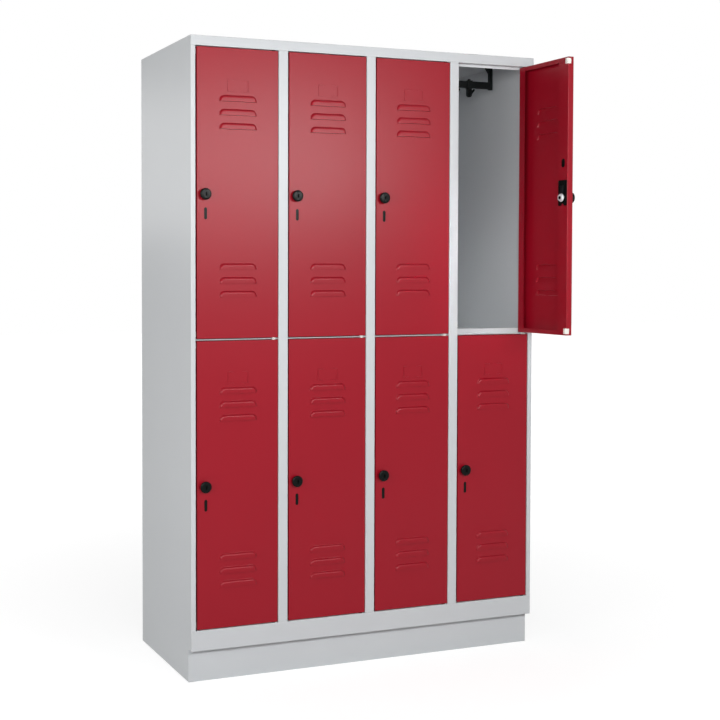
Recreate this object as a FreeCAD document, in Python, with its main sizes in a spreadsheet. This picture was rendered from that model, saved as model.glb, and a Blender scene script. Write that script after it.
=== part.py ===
# Double-tier steel locker: four columns of two compartments, with ruby doors in a grey carcass.
# Frame: origin on the floor at the middle of the footprint, +Z up, doors facing -Y, +X to the right.
import FreeCAD, Part
import Sketcher
import os

COLUMNS = 4
TIERS = ("lower", "upper")
LOUVRE_ROWS = 3
HOOKS_PER_RAIL = 3
OPEN_DOOR = (4, "upper")

doc = FreeCAD.newDocument("locker")
sheet = doc.addObject("Spreadsheet::Sheet", "Size")

# Driving dimensions in millimetres, and one angle in degrees
DIMENSIONS = [
    # carcass
    ("column_pitch", 300), ("locker_depth", 500), ("plinth_height", 100), ("plinth_recess", 28),
    ("floor_fascia", 62.5), ("tier_opening", 877.75), ("shelf_edge", 2), ("roof_fascia", 30),
    ("gauge", 0.8), ("stile_width", 30), ("stile_depth", 22), ("stop_setback", 26), ("stop_drop", 8),
    ("stop_rise", 16), ("foot_flange", 20), ("base_rail_width", 40), ("base_return", 36),
    ("relief_width", 16), ("relief_depth", 16), ("panel_slack", 0.4), ("hem_notch", 4),
    # door
    ("door_gap", 2.5), ("lock_gap", 4.5), ("door_depth", 20), ("door_gauge", 0.8), ("edge_radius", 1.5),
    ("lock_return", 48), ("hinge_return", 30), ("end_return", 14), ("open_angle", 91),
    # hinge pivots
    ("pivot_edge", 12), ("pivot_face", 8), ("pivot_radius", 3), ("pivot_reach", 7), ("pivot_head", 2),
    ("collar_radius", 7), ("running_play", 0.05), ("face_play", 0.2),
    # louvres and label frame pressed in the door
    ("louvre_width", 119), ("louvre_height", 18), ("louvre_taper", 1), ("louvre_corner", 16.5),
    ("louvre_rise", 6), ("louvre_wall", 1), ("louvre_slit", 0.1), ("louvre_pitch", 41.5),
    ("louvre_top", 142), ("louvre_foot", 124.5), ("louvre_round", 5.5),
    ("label_width", 68), ("label_height", 36), ("label_bead", 2), ("label_rise", 0.8), ("label_lift", 12),
    ("label_gap", 26),
    # turn lock
    ("lock_inset", 24), ("lock_height", 433.5), ("spindle_radius", 5), ("knob_neck", 13), ("knob_rim", 17.5),
    ("knob_face", 12.5), ("knob_reach", 17), ("knob_flare", 9), ("knob_band", 4), ("grip_width", 9),
    ("grip_depth", 3), ("key_width", 1.6), ("key_height", 8), ("key_depth", 2),
    ("case_width", 42), ("case_rise", 55), ("case_foot", 25), ("case_thick", 2.2), ("case_notch", 7),
    ("case_corner", 3), ("cam_width", 16), ("cam_reach", 39), ("cam_clear", 1), ("cam_thick", 2.5),
    ("spindle_tip", 1.5), ("washer_radius", 13), ("washer_thick", 1.5), ("nut_radius", 12),
    ("nut_height", 5), ("slot_inset", 27.5), ("slot_drop", 57.5), ("slot_width", 10), ("slot_height", 36),
    ("port_lift", 109), ("port_width", 18), ("port_height", 28),
    ("plug_play", 0.1), ("plug_lip", 2), ("plug_thick", 1.5), ("plug_sink", 0.3),
    # corner buffers
    ("buffer_width", 9), ("buffer_height", 17), ("buffer_thick", 5.5), ("buffer_skirt", 9.5),
    ("buffer_edge", 1), ("buffer_inset", 5), ("buffer_bore", 2.2), ("buffer_bore_depth", 2.5),
    # coat rail and its sliding hooks
    ("rail_back", 212), ("rail_drop", 53), ("rail_height", 23), ("rail_thick", 10), ("rail_side_gap", 26),
    ("post_width", 12), ("post_thick", 12), ("gusset_width", 16), ("gusset_height", 22), ("rib_depth", 1.2),
    ("rib_height", 3), ("gusset_toe", 1), ("post_toe", 3), ("hook_pitch", 57), ("hook_shift", -24),
    ("band_width", 18), ("band_wall", 2.6), ("band_play", 0.3), ("bump_height", 5), ("tongue_width", 20),
    ("tongue_thick", 7), ("tongue_drop", 28), ("prong_radius", 4), ("prong_length", 34), ("prong_tilt", 28),
]
for row, (alias, value) in enumerate(DIMENSIONS, start=1):
    sheet.set(f"A{row}", alias)
    sheet.set(f"B{row}", str(value))
    sheet.setAlias(f"B{row}", alias)
doc.recompute()


def size(alias):
    return float(sheet.get(alias))


def e(text):
    """Turn a formula in alias names into an expression on the sheet."""
    words = text.replace("(", "( ").replace(")", " )").split()
    names = {alias for alias, value in DIMENSIONS}
    return " ".join(f"Size.{word}" if word in names else word for word in words)


def bind(obj, **formulas):
    for prop, text in formulas.items():
        obj.setExpression(prop.replace("__", "."), e(text))
    return obj


def move(obj, x="0", y="0", z="0"):
    return bind(obj, Placement__Base__x=x, Placement__Base__y=y, Placement__Base__z=z)


def box(name, x, y, z):
    """A box from its low and high corner formulas on each axis."""
    obj = doc.addObject("Part::Box", name)
    bind(obj, Length=f"( {x[1]} ) - ( {x[0]} )", Width=f"( {y[1]} ) - ( {y[0]} )",
         Height=f"( {z[1]} ) - ( {z[0]} )")
    return move(obj, x[0], y[0], z[0])


def turn_axis(obj, axis, degrees):
    obj.Placement.Rotation = FreeCAD.Rotation(FreeCAD.Vector(*axis), degrees)
    return obj


def cylinder(name, radius, height, x, y, z, along="z"):
    obj = doc.addObject("Part::Cylinder", name)
    if along == "y":
        turn_axis(obj, (1, 0, 0), -90)
    bind(obj, Radius=radius, Height=height)
    return move(obj, x, y, z)


def cone(name, radius_start, radius_end, height, x, y, z):
    """A cone whose axis runs along +Y from its start."""
    obj = doc.addObject("Part::Cone", name)
    turn_axis(obj, (1, 0, 0), -90)
    bind(obj, Radius1=radius_start, Radius2=radius_end, Height=height)
    return move(obj, x, y, z)


def fuse(name, shapes):
    obj = doc.addObject("Part::MultiFuse", name)
    obj.Shapes = shapes
    obj.Refine = True
    return obj


def cut(name, base, tool):
    obj = doc.addObject("Part::Cut", name)
    obj.Base = base
    obj.Tool = tool
    return obj


def group(name, shapes):
    obj = doc.addObject("Part::Compound", name)
    obj.Links = shapes
    return obj


def copy_at(name, source, x="0", y="0", z="0"):
    return move(group(name, [source]), x, y, z)


def round_edges(name, base, radius, chosen):
    """Fillet the edges that the test chooses by their two end points."""
    doc.recompute()
    obj = doc.addObject("Part::Fillet", name)
    obj.Base = base
    picked = []
    for index, edge in enumerate(base.Shape.Edges, start=1):
        if chosen([vertex.Point for vertex in edge.Vertexes]):
            picked.append((index, radius, radius))
    obj.Edges = picked
    return obj


# Places that several pieces share
HALF_WIDTH = f"( column_pitch * {COLUMNS} / 2 )"
FRONT = "( - locker_depth / 2 )"
BACK = "( locker_depth / 2 )"
FLOOR_TOP = "( plinth_height + floor_fascia )"
SHELF_UNDER = f"( {FLOOR_TOP} + tier_opening )"
SHELF_TOP = f"( {SHELF_UNDER} + shelf_edge )"
FASCIA_UNDER = f"( {SHELF_TOP} + tier_opening )"
ROOF_TOP = f"( {FASCIA_UNDER} + roof_fascia )"
CEILING = f"( {ROOF_TOP} - gauge )"
STILE_BACK = f"( {FRONT} + stile_depth )"
STOP_FRONT = f"( {FRONT} + stop_setback )"
PLINTH_FRONT = f"( {FRONT} + plinth_recess )"
HALF_OPENING = "( ( column_pitch - stile_width ) / 2 )"
PIVOT_X = f"( {HALF_OPENING} - door_gap - pivot_edge )"
PIVOT_Y = f"( {FRONT} + pivot_face )"


def column_x(column):
    return f"( column_pitch * {column - (COLUMNS + 1) / 2} )"


def span(centre, half):
    return (f"{centre} - {half}", f"{centre} + {half}")


parts = []


def keep(obj, label):
    obj.Label = label
    parts.append(obj)
    return obj


# Side panels: a sheet with a folded front stile, a jamb and a foot flange, notched for the plinth
def side_panel(name):
    left = f"( - {HALF_WIDTH} )"
    skin = (left, f"{left} + gauge")
    sheets = [
        box(name + "_sheet", skin, (f"{FRONT} + gauge", BACK), ("0", CEILING)),
        box(name + "_face", (left, f"{left} + stile_width / 2"), (FRONT, f"{FRONT} + gauge"),
            (FLOOR_TOP, FASCIA_UNDER)),
        box(name + "_jamb", (f"{left} + stile_width / 2 - gauge", f"{left} + stile_width / 2"),
            (FRONT, STILE_BACK), (FLOOR_TOP, FASCIA_UNDER)),
        box(name + "_foot", (left, f"{left} + foot_flange"), (f"{PLINTH_FRONT} + gauge", f"{BACK} - gauge"),
            ("0", "gauge")),
    ]
    toe = box(name + "_toe", (f"{left} - gauge", f"{left} + foot_flange"),
              (f"{FRONT} - gauge", PLINTH_FRONT), ("- gauge", "plinth_height"))
    return cut(name, fuse(name + "_folded", sheets), toe)


left_panel = keep(side_panel("side_left"), "left_side_panel")
right_panel = doc.addObject("Part::Mirroring", "side_right")
right_panel.Source = left_panel
right_panel.Normal = FreeCAD.Vector(1, 0, 0)
keep(right_panel, "right_side_panel")

# Partitions: a hollow front stile welded to the sheet that parts two columns
half_stile = "stile_width / 2"
stile = [
    box("stile_face", span("0", half_stile), (FRONT, f"{FRONT} + gauge"), (FLOOR_TOP, FASCIA_UNDER)),
    box("stile_jamb_left", (f"- {half_stile}", f"- {half_stile} + gauge"), (FRONT, STILE_BACK),
        (FLOOR_TOP, FASCIA_UNDER)),
    box("stile_jamb_right", (f"{half_stile} - gauge", half_stile), (FRONT, STILE_BACK),
        (FLOOR_TOP, FASCIA_UNDER)),
    box("stile_web", span("0", "gauge / 2"), (FRONT, STILE_BACK), (FLOOR_TOP, FASCIA_UNDER)),
    box("partition_sheet", span("0", "gauge / 2"), (STILE_BACK, f"{BACK} - gauge"), (FLOOR_TOP, CEILING)),
]
partition = fuse("partition", stile)
for number in range(1, COLUMNS):
    keep(copy_at(f"partition_{number}", partition, x=f"column_pitch * {number - COLUMNS / 2}"),
         f"partition_{number}")

# Roof: a sheet folded down into the front fascia, back into the hinge flange and down into the door stops
roof_sheets = [
    box("roof_sheet", (f"- {HALF_WIDTH}", HALF_WIDTH), (FRONT, BACK), (CEILING, ROOF_TOP)),
    box("roof_front", (f"- {HALF_WIDTH}", HALF_WIDTH), (FRONT, f"{FRONT} + gauge"), (FASCIA_UNDER, ROOF_TOP)),
    box("roof_flange", (f"- {HALF_WIDTH} + gauge", f"{HALF_WIDTH} - gauge"), (FRONT, f"{STOP_FRONT} + gauge"),
        (FASCIA_UNDER, f"{FASCIA_UNDER} + gauge")),
]
roof_cuts = []
floor_holes = []
for column in range(1, COLUMNS + 1):
    x = column_x(column)
    roof_sheets.append(box(f"roof_stop_{column}", span(x, HALF_OPENING),
                           (STOP_FRONT, f"{STOP_FRONT} + gauge"),
                           (f"{FASCIA_UNDER} - stop_drop", f"{FASCIA_UNDER} + gauge")))
    relief_left = f"{x} - {HALF_OPENING}"
    roof_cuts.append(box(f"roof_relief_{column}", (relief_left, f"{relief_left} + relief_width"),
                         (f"{STOP_FRONT} - relief_depth", STOP_FRONT),
                         (f"{FASCIA_UNDER} - gauge", f"{FASCIA_UNDER} + 2 * gauge")))
    roof_cuts.append(cylinder(f"roof_hole_{column}", "pivot_radius + running_play", "4 * gauge",
                              f"{x} + {PIVOT_X}", PIVOT_Y, f"{FASCIA_UNDER} - gauge"))
    floor_holes.append(cylinder(f"floor_hole_{column}", "pivot_radius + running_play", "4 * gauge",
                                f"{x} + {PIVOT_X}", PIVOT_Y, f"{FLOOR_TOP} - 2 * gauge"))
keep(cut("roof", fuse("roof_folded", roof_sheets), group("roof_openings", roof_cuts)), "roof_panel")

# Floor: a sheet folded down into the bottom fascia and back over the plinth, with upstands as door stops
inside = f"{HALF_WIDTH} - gauge"
floor_sheets = [
    box("floor_sheet", (f"- {HALF_WIDTH} + gauge", inside), (FRONT, f"{BACK} - gauge"),
        (f"{FLOOR_TOP} - gauge", FLOOR_TOP)),
    box("floor_front", (f"- {HALF_WIDTH}", HALF_WIDTH), (FRONT, f"{FRONT} + gauge"),
        ("plinth_height", FLOOR_TOP)),
    box("floor_return", (f"- {HALF_WIDTH} + gauge", inside), (FRONT, f"{FRONT} + base_return"),
        ("plinth_height", "plinth_height + gauge")),
]
for column in range(1, COLUMNS + 1):
    floor_sheets.append(box(f"floor_stop_{column}", span(column_x(column), HALF_OPENING),
                            (STOP_FRONT, f"{STOP_FRONT} + gauge"),
                            (f"{FLOOR_TOP} - gauge", f"{FLOOR_TOP} + stop_rise")))
keep(cut("floor", fuse("floor_folded", floor_sheets), group("floor_openings", floor_holes)), "floor_panel")

# Back panel: one flat sheet between the side panels, from the floor to the roof
back = box("back", (f"- {HALF_WIDTH} + gauge", inside), (f"{BACK} - gauge", BACK), ("0", CEILING))
keep(back, "back_panel")

# Plinth: the kick board and a channel from front to back that carries the middle of the floor
half_rail = "base_rail_width / 2"
rail_run = (f"{PLINTH_FRONT} + gauge", f"{BACK} - gauge")
floor_under = f"{FLOOR_TOP} - gauge"
board_under = "plinth_height"
plinth_sheets = [
    box("plinth_board", (f"- {HALF_WIDTH} + gauge", inside), (PLINTH_FRONT, f"{PLINTH_FRONT} + gauge"),
        ("0", board_under)),
    box("plinth_foot", (f"- {HALF_WIDTH} + foot_flange", f"{HALF_WIDTH} - foot_flange"),
        (PLINTH_FRONT, f"{PLINTH_FRONT} + foot_flange"), ("0", "gauge")),
    box("rail_foot", span("0", half_rail), rail_run, ("0", "gauge")),
]
for side, low in (("left", f"- {half_rail}"), ("right", f"{half_rail} - gauge")):
    plinth_sheets.append(box(f"rail_web_{side}", (low, f"{low} + gauge"), rail_run, ("0", board_under)))
    plinth_sheets.append(box(f"rail_head_{side}", (low, f"{low} + gauge"),
                             (f"{FRONT} + base_return", rail_run[1]), (board_under, floor_under)))
keep(fuse("plinth", plinth_sheets), "plinth_frame")

# Tier shelves: hemmed front edge between the doors, with stops up and down behind it
shelf_half = "( column_pitch / 2 - gauge )"
shelf = cut("shelf", fuse("shelf_folded", [
    box("shelf_sheet", span("0", shelf_half), (f"{STILE_BACK} + panel_slack", f"{BACK} - gauge"),
        (f"{SHELF_TOP} - gauge", SHELF_TOP)),
    box("shelf_tongue", span("0", HALF_OPENING), (FRONT, f"{STILE_BACK} + 2 * panel_slack"),
        (f"{SHELF_TOP} - gauge", SHELF_TOP)),
    box("shelf_hem", span("0", HALF_OPENING), (FRONT, f"{STOP_FRONT} + gauge"), (SHELF_UNDER, SHELF_TOP)),
    box("shelf_stop", span("0", HALF_OPENING), (STOP_FRONT, f"{STOP_FRONT} + gauge"),
        (f"{SHELF_UNDER} - stop_drop", f"{SHELF_TOP} + stop_rise")),
]), group("shelf_openings", [
    cylinder("shelf_hole", "pivot_radius + running_play", "3 * shelf_edge", PIVOT_X, PIVOT_Y,
             f"{SHELF_UNDER} - shelf_edge"),
    box("shelf_notch", (f"{PIVOT_X} - collar_radius - hem_notch", f"{PIVOT_X} - collar_radius"),
        (f"{FRONT} - gauge", PIVOT_Y), (f"{SHELF_UNDER} - gauge", f"{SHELF_TOP} + gauge")),
]))
shelves = [copy_at(f"shelf_{column}", shelf, x=column_x(column)) for column in range(1, COLUMNS + 1)]
keep(group("shelves", shelves), "tier_shelves")

# Hinge pivots: stepped nylon pins held in the roof flange, the shelf hem and the floor
pin_up = "door_gap + door_gauge + pivot_reach"
collar = "door_gap - face_play"


def pivot(name, low, high, collars):
    solids = [cylinder(name + "_pin", "pivot_radius", f"( {high} ) - ( {low} )", PIVOT_X, PIVOT_Y, low)]
    for number, start in enumerate(collars, start=1):
        solids.append(cylinder(f"{name}_collar_{number}", "collar_radius", collar, PIVOT_X, PIVOT_Y, start))
    return fuse(name, solids)


pivots = [
    pivot("roof_pivot", f"{FASCIA_UNDER} - ( {pin_up} )", f"{FASCIA_UNDER} + gauge + pivot_head",
          [f"{FASCIA_UNDER} - ( {collar} )"]),
    pivot("shelf_pivot", f"{SHELF_UNDER} - ( {pin_up} )", f"{SHELF_TOP} + {pin_up}",
          [f"{SHELF_UNDER} - ( {collar} )", SHELF_TOP]),
    pivot("floor_pivot", f"{FLOOR_TOP} - gauge - pivot_head", f"{FLOOR_TOP} + {pin_up}", [FLOOR_TOP]),
]
pivot_copies = []
for column in range(1, COLUMNS + 1):
    for source in pivots:
        pivot_copies.append(copy_at(f"{source.Name}_{column}", source, x=column_x(column)))
keep(group("hinge_pins", pivot_copies), "hinge_pivots")

# Door, in its own frame: hinge axis at x = 0, y = 0, bottom edge at z = 0, face towards -Y
DOOR_HEIGHT = "( tier_opening - 2 * door_gap )"
HINGE_EDGE = "pivot_edge"
FREE_EDGE = "( pivot_edge - ( column_pitch - stile_width - door_gap - lock_gap ) )"
FACE = "( - pivot_face )"
SKIN_BACK = f"( {FACE} + door_gauge )"
INNER = f"( {FACE} + door_depth )"
DOOR_MIDDLE = f"( ( {FREE_EDGE} + {HINGE_EDGE} ) / 2 )"
LOCK_X = f"( {FREE_EDGE} + lock_inset )"
SLOT_X = f"( {FREE_EDGE} + slot_inset )"
SLOT_Z = "( lock_height - slot_drop )"
PORT_Z = "( lock_height + port_lift )"
THROUGH = (f"{FACE} - door_gauge", f"{INNER} + door_gauge")
SAME_PLACE = 0.01


def louvre(name, wall, height, start, reach):
    """A pressed hood, tapered and rounded except at its open foot, grown from start towards -Y."""
    body = doc.addObject("PartDesign::Body", name)
    outline = body.newObject("Sketcher::SketchObject", name + "_outline")
    plane = [item for item in body.Origin.OriginFeatures if item.Role == "XZ_Plane"][0]
    outline.AttachmentSupport = [(plane, "")]
    outline.MapMode = "FlatFace"
    half = size("louvre_width") / 2
    top = half - size("louvre_taper")
    corners = [(-half, 0), (half, 0), (top, size("louvre_height")), (-top, size("louvre_height"))]
    for first, second in zip(corners, corners[1:] + corners[:1]):
        outline.addGeometry(Part.LineSegment(FreeCAD.Vector(*first, 0), FreeCAD.Vector(*second, 0)), False)
    for line in range(4):
        outline.addConstraint(Sketcher.Constraint("Coincident", line, 2, (line + 1) % 4, 1))
    outline.addConstraint(Sketcher.Constraint("Symmetric", 0, 1, 0, 2, -2))
    outline.addConstraint(Sketcher.Constraint("Symmetric", 2, 1, 2, 2, -2))
    outline.addConstraint(Sketcher.Constraint("PointOnObject", 0, 1, -1))
    for label, first, second, kind, formula in (
            ("foot", (0, 1), (0, 2), "DistanceX", f"louvre_width - 2 * {wall}"),
            ("head", (2, 2), (2, 1), "DistanceX", f"louvre_width - 2 * louvre_taper - 2 * {wall}"),
            ("rise", (0, 2), (2, 1), "DistanceY", height)):
        number = outline.addConstraint(Sketcher.Constraint(kind, *first, *second, half))
        outline.renameConstraint(number, label)
        outline.setExpression(f"Constraints.{label}", e(formula))
    pad = body.newObject("PartDesign::Pad", name + "_pad")
    pad.Profile = outline
    bind(pad, Length=reach)
    doc.recompute()
    crown = outline.Constraints[-1].Value
    corner = body.newObject("PartDesign::Fillet", name + "_corners")
    corner.Base = (pad, edges_where(pad, lambda ends: all(end.z > crown - SAME_PLACE for end in ends)
                                    and abs(ends[0].x - ends[1].x) < SAME_PLACE))
    bind(corner, Radius=f"louvre_corner - {wall}")
    doc.recompute()
    front = min(vertex.Point.y for vertex in corner.Shape.Vertexes)
    brow = body.newObject("PartDesign::Fillet", name + "_brow")
    brow.Base = (corner, edges_where(corner, lambda ends: all(end.y < front + SAME_PLACE for end in ends)
                                     and max(end.z for end in ends) > SAME_PLACE))
    bind(brow, Radius=f"louvre_round - {wall}")
    body.Tip = brow
    return move(body, y=start)


def edges_where(feature, chosen):
    return [f"Edge{index}" for index, edge in enumerate(feature.Shape.Edges, start=1)
            if chosen([vertex.Point for vertex in edge.Vertexes])]


def slot(name, x, z, width, height, depth):
    """A cutter with rounded ends, centred at x and z."""
    straight = f"( {height} ) / 2 - ( {width} ) / 2"
    run = f"( {depth[1]} ) - ( {depth[0]} )"
    return fuse(name, [
        box(name + "_run", span(x, f"( {width} ) / 2"), depth, span(z, f"( {straight} )")),
        cylinder(name + "_foot", f"( {width} ) / 2", run, x, depth[0], f"{z} - ( {straight} )", "y"),
        cylinder(name + "_head", f"( {width} ) / 2", run, x, depth[0], f"{z} + ( {straight} )", "y"),
    ])


# Door panel: a folded pan with returns, pressed louvres, a label frame and the lock's holes
pan_block = box("pan_block", (FREE_EDGE, HINGE_EDGE), (FACE, INNER), ("0", DOOR_HEIGHT))
pan_round = round_edges("pan_round", pan_block, size("edge_radius"),
                        lambda ends: all(abs(end.y + size("pivot_face")) < SAME_PLACE for end in ends))
pan_inside = fuse("pan_inside", [
    box("pan_cavity", (f"{FREE_EDGE} + door_gauge", f"{HINGE_EDGE} - door_gauge"),
        (SKIN_BACK, f"{INNER} - door_gauge"), ("door_gauge", f"{DOOR_HEIGHT} - door_gauge")),
    box("pan_window", (f"{FREE_EDGE} + lock_return", f"{HINGE_EDGE} - hinge_return"),
        (SKIN_BACK, f"{INNER} + door_gauge"), ("end_return", f"{DOOR_HEIGHT} - end_return")),
])
pan = cut("pan", pan_round, pan_inside)

hood = louvre("hood", "0", "louvre_height", f"{FACE} + door_gauge / 2", "louvre_rise + door_gauge / 2")
throat = louvre("throat", "louvre_wall", "louvre_height - louvre_wall + louvre_slit",
                f"{SKIN_BACK} + face_play", "louvre_rise - louvre_wall + door_gauge + face_play")
hoods = []
throats = []
for block, first in (("head", f"{DOOR_HEIGHT} - louvre_top - louvre_height"),
                     ("foot", f"louvre_foot + louvre_pitch * {LOUVRE_ROWS - 1}")):
    for row in range(LOUVRE_ROWS):
        z = f"{first} - louvre_pitch * {row}"
        hoods.append(copy_at(f"hood_{block}_{row}", hood, x=DOOR_MIDDLE, z=z))
        throats.append(copy_at(f"throat_{block}_{row}", throat, x=DOOR_MIDDLE, z=f"{z} - louvre_slit"))

LABEL_FOOT = f"( {DOOR_HEIGHT} - louvre_top + label_lift )"
bead_depth = (f"{FACE} - label_rise", f"{FACE} + door_gauge / 2")
label_depth = (f"{FACE} - 2 * label_rise", f"{FACE} + door_gauge")
label_outer = box("label_outer", span(DOOR_MIDDLE, "label_width / 2"), bead_depth,
                  (LABEL_FOOT, f"{LABEL_FOOT} + label_height"))
label_frame = cut("label_frame", label_outer, fuse("label_inside", [
    box("label_inner", span(DOOR_MIDDLE, "( label_width / 2 - label_bead )"), label_depth,
        (f"{LABEL_FOOT} + label_bead", f"{LABEL_FOOT} + label_height - label_bead")),
    box("label_break", span(DOOR_MIDDLE, "label_gap / 2"), label_depth,
        (f"{LABEL_FOOT} - label_bead", f"{LABEL_FOOT} + label_height + label_bead")),
]))

pin_hole = "pivot_radius + running_play"
door_holes = throats + [
    cylinder("lock_hole", "spindle_radius + running_play", "door_depth + 2 * door_gauge", LOCK_X, THROUGH[0],
             "lock_height", "y"),
    slot("hasp_slot", SLOT_X, SLOT_Z, "slot_width", "slot_height", (THROUGH[0], f"{SKIN_BACK} + door_gauge")),
    slot("port", LOCK_X, PORT_Z, "port_width", "port_height", (f"{INNER} - 2 * door_gauge", THROUGH[1])),
    cylinder("pin_hole_foot", pin_hole, "3 * door_gauge", "0", "0", "- door_gauge"),
    cylinder("pin_hole_head", pin_hole, "3 * door_gauge", "0", "0", f"{DOOR_HEIGHT} - 2 * door_gauge"),
]
door = cut("door", fuse("door_pressed", [pan, label_frame] + hoods), group("door_cuts", door_holes))

# Lock case: a moulded plate on the inside of the door, forked at its foot, and plugs in the slot and the port
CASE_BACK = f"( {INNER} + case_thick )"
case_low = "lock_height - case_foot"
case_high = "lock_height + case_rise"
case_block = box("case_block", span(LOCK_X, "case_width / 2"), (INNER, CASE_BACK), (case_low, case_high))
case_round = round_edges("case_round", case_block, size("case_corner"),
                         lambda ends: abs(ends[0].y - ends[1].y) > SAME_PLACE)
case_depth = (f"{INNER} - case_thick", f"{CASE_BACK} + case_thick")
lock_plate = cut("lock_plate", case_round, group("case_openings", [
    cylinder("case_hole", "spindle_radius + running_play", "3 * case_thick", LOCK_X, case_depth[0],
             "lock_height", "y"),
    box("case_fork", span(LOCK_X, "case_notch"), case_depth,
        (f"{case_low} - case_notch", f"{case_low} + case_notch")),
]))


def plug(name, x, z, width, height, outer, inner):
    """A moulded plug: a body in the oblong hole from outer to inner and a lip behind it."""
    return fuse(name, [
        slot(name + "_body", x, z, f"{width} - 2 * plug_play", f"{height} - 2 * plug_play", (outer, inner)),
        slot(name + "_lip", x, z, f"{width} + 2 * plug_lip", f"{height} + 2 * plug_lip",
             (inner, f"{inner} + plug_thick")),
    ])


slot_plug = plug("slot_plug", SLOT_X, SLOT_Z, "slot_width", "slot_height", f"{FACE} + plug_sink", SKIN_BACK)
port_plug = slot("port_plug", LOCK_X, PORT_Z, "port_width - 2 * plug_play", "port_height - 2 * plug_play",
                 (f"{INNER} - door_gauge", f"{INNER} - plug_sink"))
port_lip = slot("port_lip", LOCK_X, PORT_Z, "port_width + 2 * plug_lip", "port_height + 2 * plug_lip",
                (f"{INNER} - door_gauge - plug_thick", f"{INNER} - door_gauge"))
lock_case = group("case", [lock_plate, slot_plug, fuse("port_cap", [port_plug, port_lip])])

# Knob: a flared grip with a key slot, moulded on the spindle that carries the cam
KNOB_BACK = f"( {FACE} - face_play )"
CAM_FRONT = f"( {FACE} + stile_depth + cam_clear )"
CAM_BACK = f"( {CAM_FRONT} + cam_thick )"
NUT_FRONT = f"( {CAM_BACK} + washer_thick )"
NUT_BACK = f"( {NUT_FRONT} + nut_height )"
knob_front = f"{FACE} - knob_reach"
knob_solids = fuse("knob_turned", [
    cone("knob_flare", "knob_rim", "knob_neck", "knob_flare - face_play", LOCK_X, f"{FACE} - knob_flare",
         "lock_height"),
    cylinder("knob_band", "knob_rim", "knob_band", LOCK_X, f"{FACE} - knob_flare - knob_band",
             "lock_height", "y"),
    cone("knob_crown", "knob_face", "knob_rim", "knob_reach - knob_flare - knob_band", LOCK_X, knob_front,
         "lock_height"),
    cylinder("spindle", "spindle_radius", f"{NUT_BACK} + spindle_tip - {KNOB_BACK}", LOCK_X, KNOB_BACK,
             "lock_height", "y"),
])
grip_run = (f"{knob_front} - grip_depth", f"{knob_front} + grip_depth")
grip_height = span("lock_height", "knob_rim")
knob = cut("knob", knob_solids, group("knob_cuts", [
    box("grip_left", (f"{LOCK_X} - knob_rim", f"{LOCK_X} - grip_width / 2"), grip_run, grip_height),
    box("grip_right", (f"{LOCK_X} + grip_width / 2", f"{LOCK_X} + knob_rim"), grip_run, grip_height),
    box("key_slot", span(LOCK_X, "key_width / 2"), (f"{knob_front} - key_depth", f"{knob_front} + key_depth"),
        span("lock_height", "key_height / 2")),
]))

# Cam: a steel tongue that points up when unlocked and turns behind the stile, held by a flanged nut
cam_hole = cylinder("cam_hole", "spindle_radius + running_play", "3 * cam_thick", LOCK_X,
                    f"{CAM_FRONT} - cam_thick", "lock_height", "y")
cam = cut("cam", fuse("cam_blank", [
    box("cam_tongue", span(LOCK_X, "cam_width / 2"), (CAM_FRONT, CAM_BACK),
        ("lock_height", "lock_height + cam_reach")),
    cylinder("cam_hub", "cam_width / 2", "cam_thick", LOCK_X, CAM_FRONT, "lock_height", "y"),
]), cam_hole)
nut_block = doc.addObject("Part::Prism", "nut_block")
nut_block.Polygon = 6
turn_axis(nut_block, (1, 0, 0), -90)
move(bind(nut_block, Circumradius="nut_radius", Height="nut_height"), LOCK_X, NUT_FRONT, "lock_height")
nut_flange = cylinder("nut_flange", "washer_radius", "washer_thick", LOCK_X, CAM_BACK, "lock_height", "y")
nut_hole = cylinder("nut_hole", "spindle_radius + running_play", "3 * nut_height", LOCK_X,
                    f"{CAM_BACK} - nut_height", "lock_height", "y")
nut = cut("nut", fuse("nut_blank", [nut_block, nut_flange]), nut_hole)
cam_set = group("cam_set", [cam, nut])

# Corner buffers: white caps on the free edge that meet the door stops
buffers = []
for end, low in (("foot", "buffer_inset"), ("head", f"{DOOR_HEIGHT} - buffer_inset - buffer_height")):
    high = f"{low} + buffer_height"
    cap = fuse(f"buffer_cap_{end}", [
        box(f"buffer_pad_{end}", (FREE_EDGE, f"{FREE_EDGE} + buffer_width"),
            (INNER, f"{INNER} + buffer_thick"), (low, high)),
        box(f"buffer_skirt_{end}", (f"{FREE_EDGE} - buffer_edge", FREE_EDGE),
            (f"{INNER} - buffer_skirt", f"{INNER} + buffer_thick"), (low, high)),
    ])
    buffers.append(cut(f"buffer_{end}", cap, cylinder(
        f"buffer_bore_{end}", "buffer_bore", "2 * buffer_bore_depth", f"{FREE_EDGE} + buffer_width / 2",
        f"{INNER} + buffer_thick - buffer_bore_depth", f"{low} + buffer_height / 2", "y")))
buffer_pair = group("buffer_pair", buffers)

# Coat rail, in its own frame: fixed under a ceiling at z = 0, with a post at each end of a ribbed bar
HALF_RAIL = "( column_pitch / 2 - gauge - rail_side_gap )"
BAR_TOP = "( - rail_drop )"
BAR_FOOT = "( - rail_drop - rail_height )"
RIB_FACE = "( rail_thick / 2 + rib_depth )"
gusset = doc.addObject("Part::Wedge", "gusset")
turn_axis(gusset, (1, 0, 0), -90)
bind(gusset, Xmin="- gusset_width", Xmax="0", X2min="- gusset_toe", X2max="0", Ymin="0", Ymax="gusset_height",
     Zmin="- post_thick / 2", Zmax="post_thick / 2", Z2min="- post_thick / 2", Z2max="post_thick / 2")
move(gusset, f"{HALF_RAIL} - post_width")
post = fuse("post", [
    box("post_leg", (f"{HALF_RAIL} - post_width", HALF_RAIL), span("0", "post_thick / 2"),
        (f"{BAR_FOOT} - post_toe", "0")),
    gusset,
])
post_mirror = doc.addObject("Part::Mirroring", "post_mirror")
post_mirror.Source = post
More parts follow.
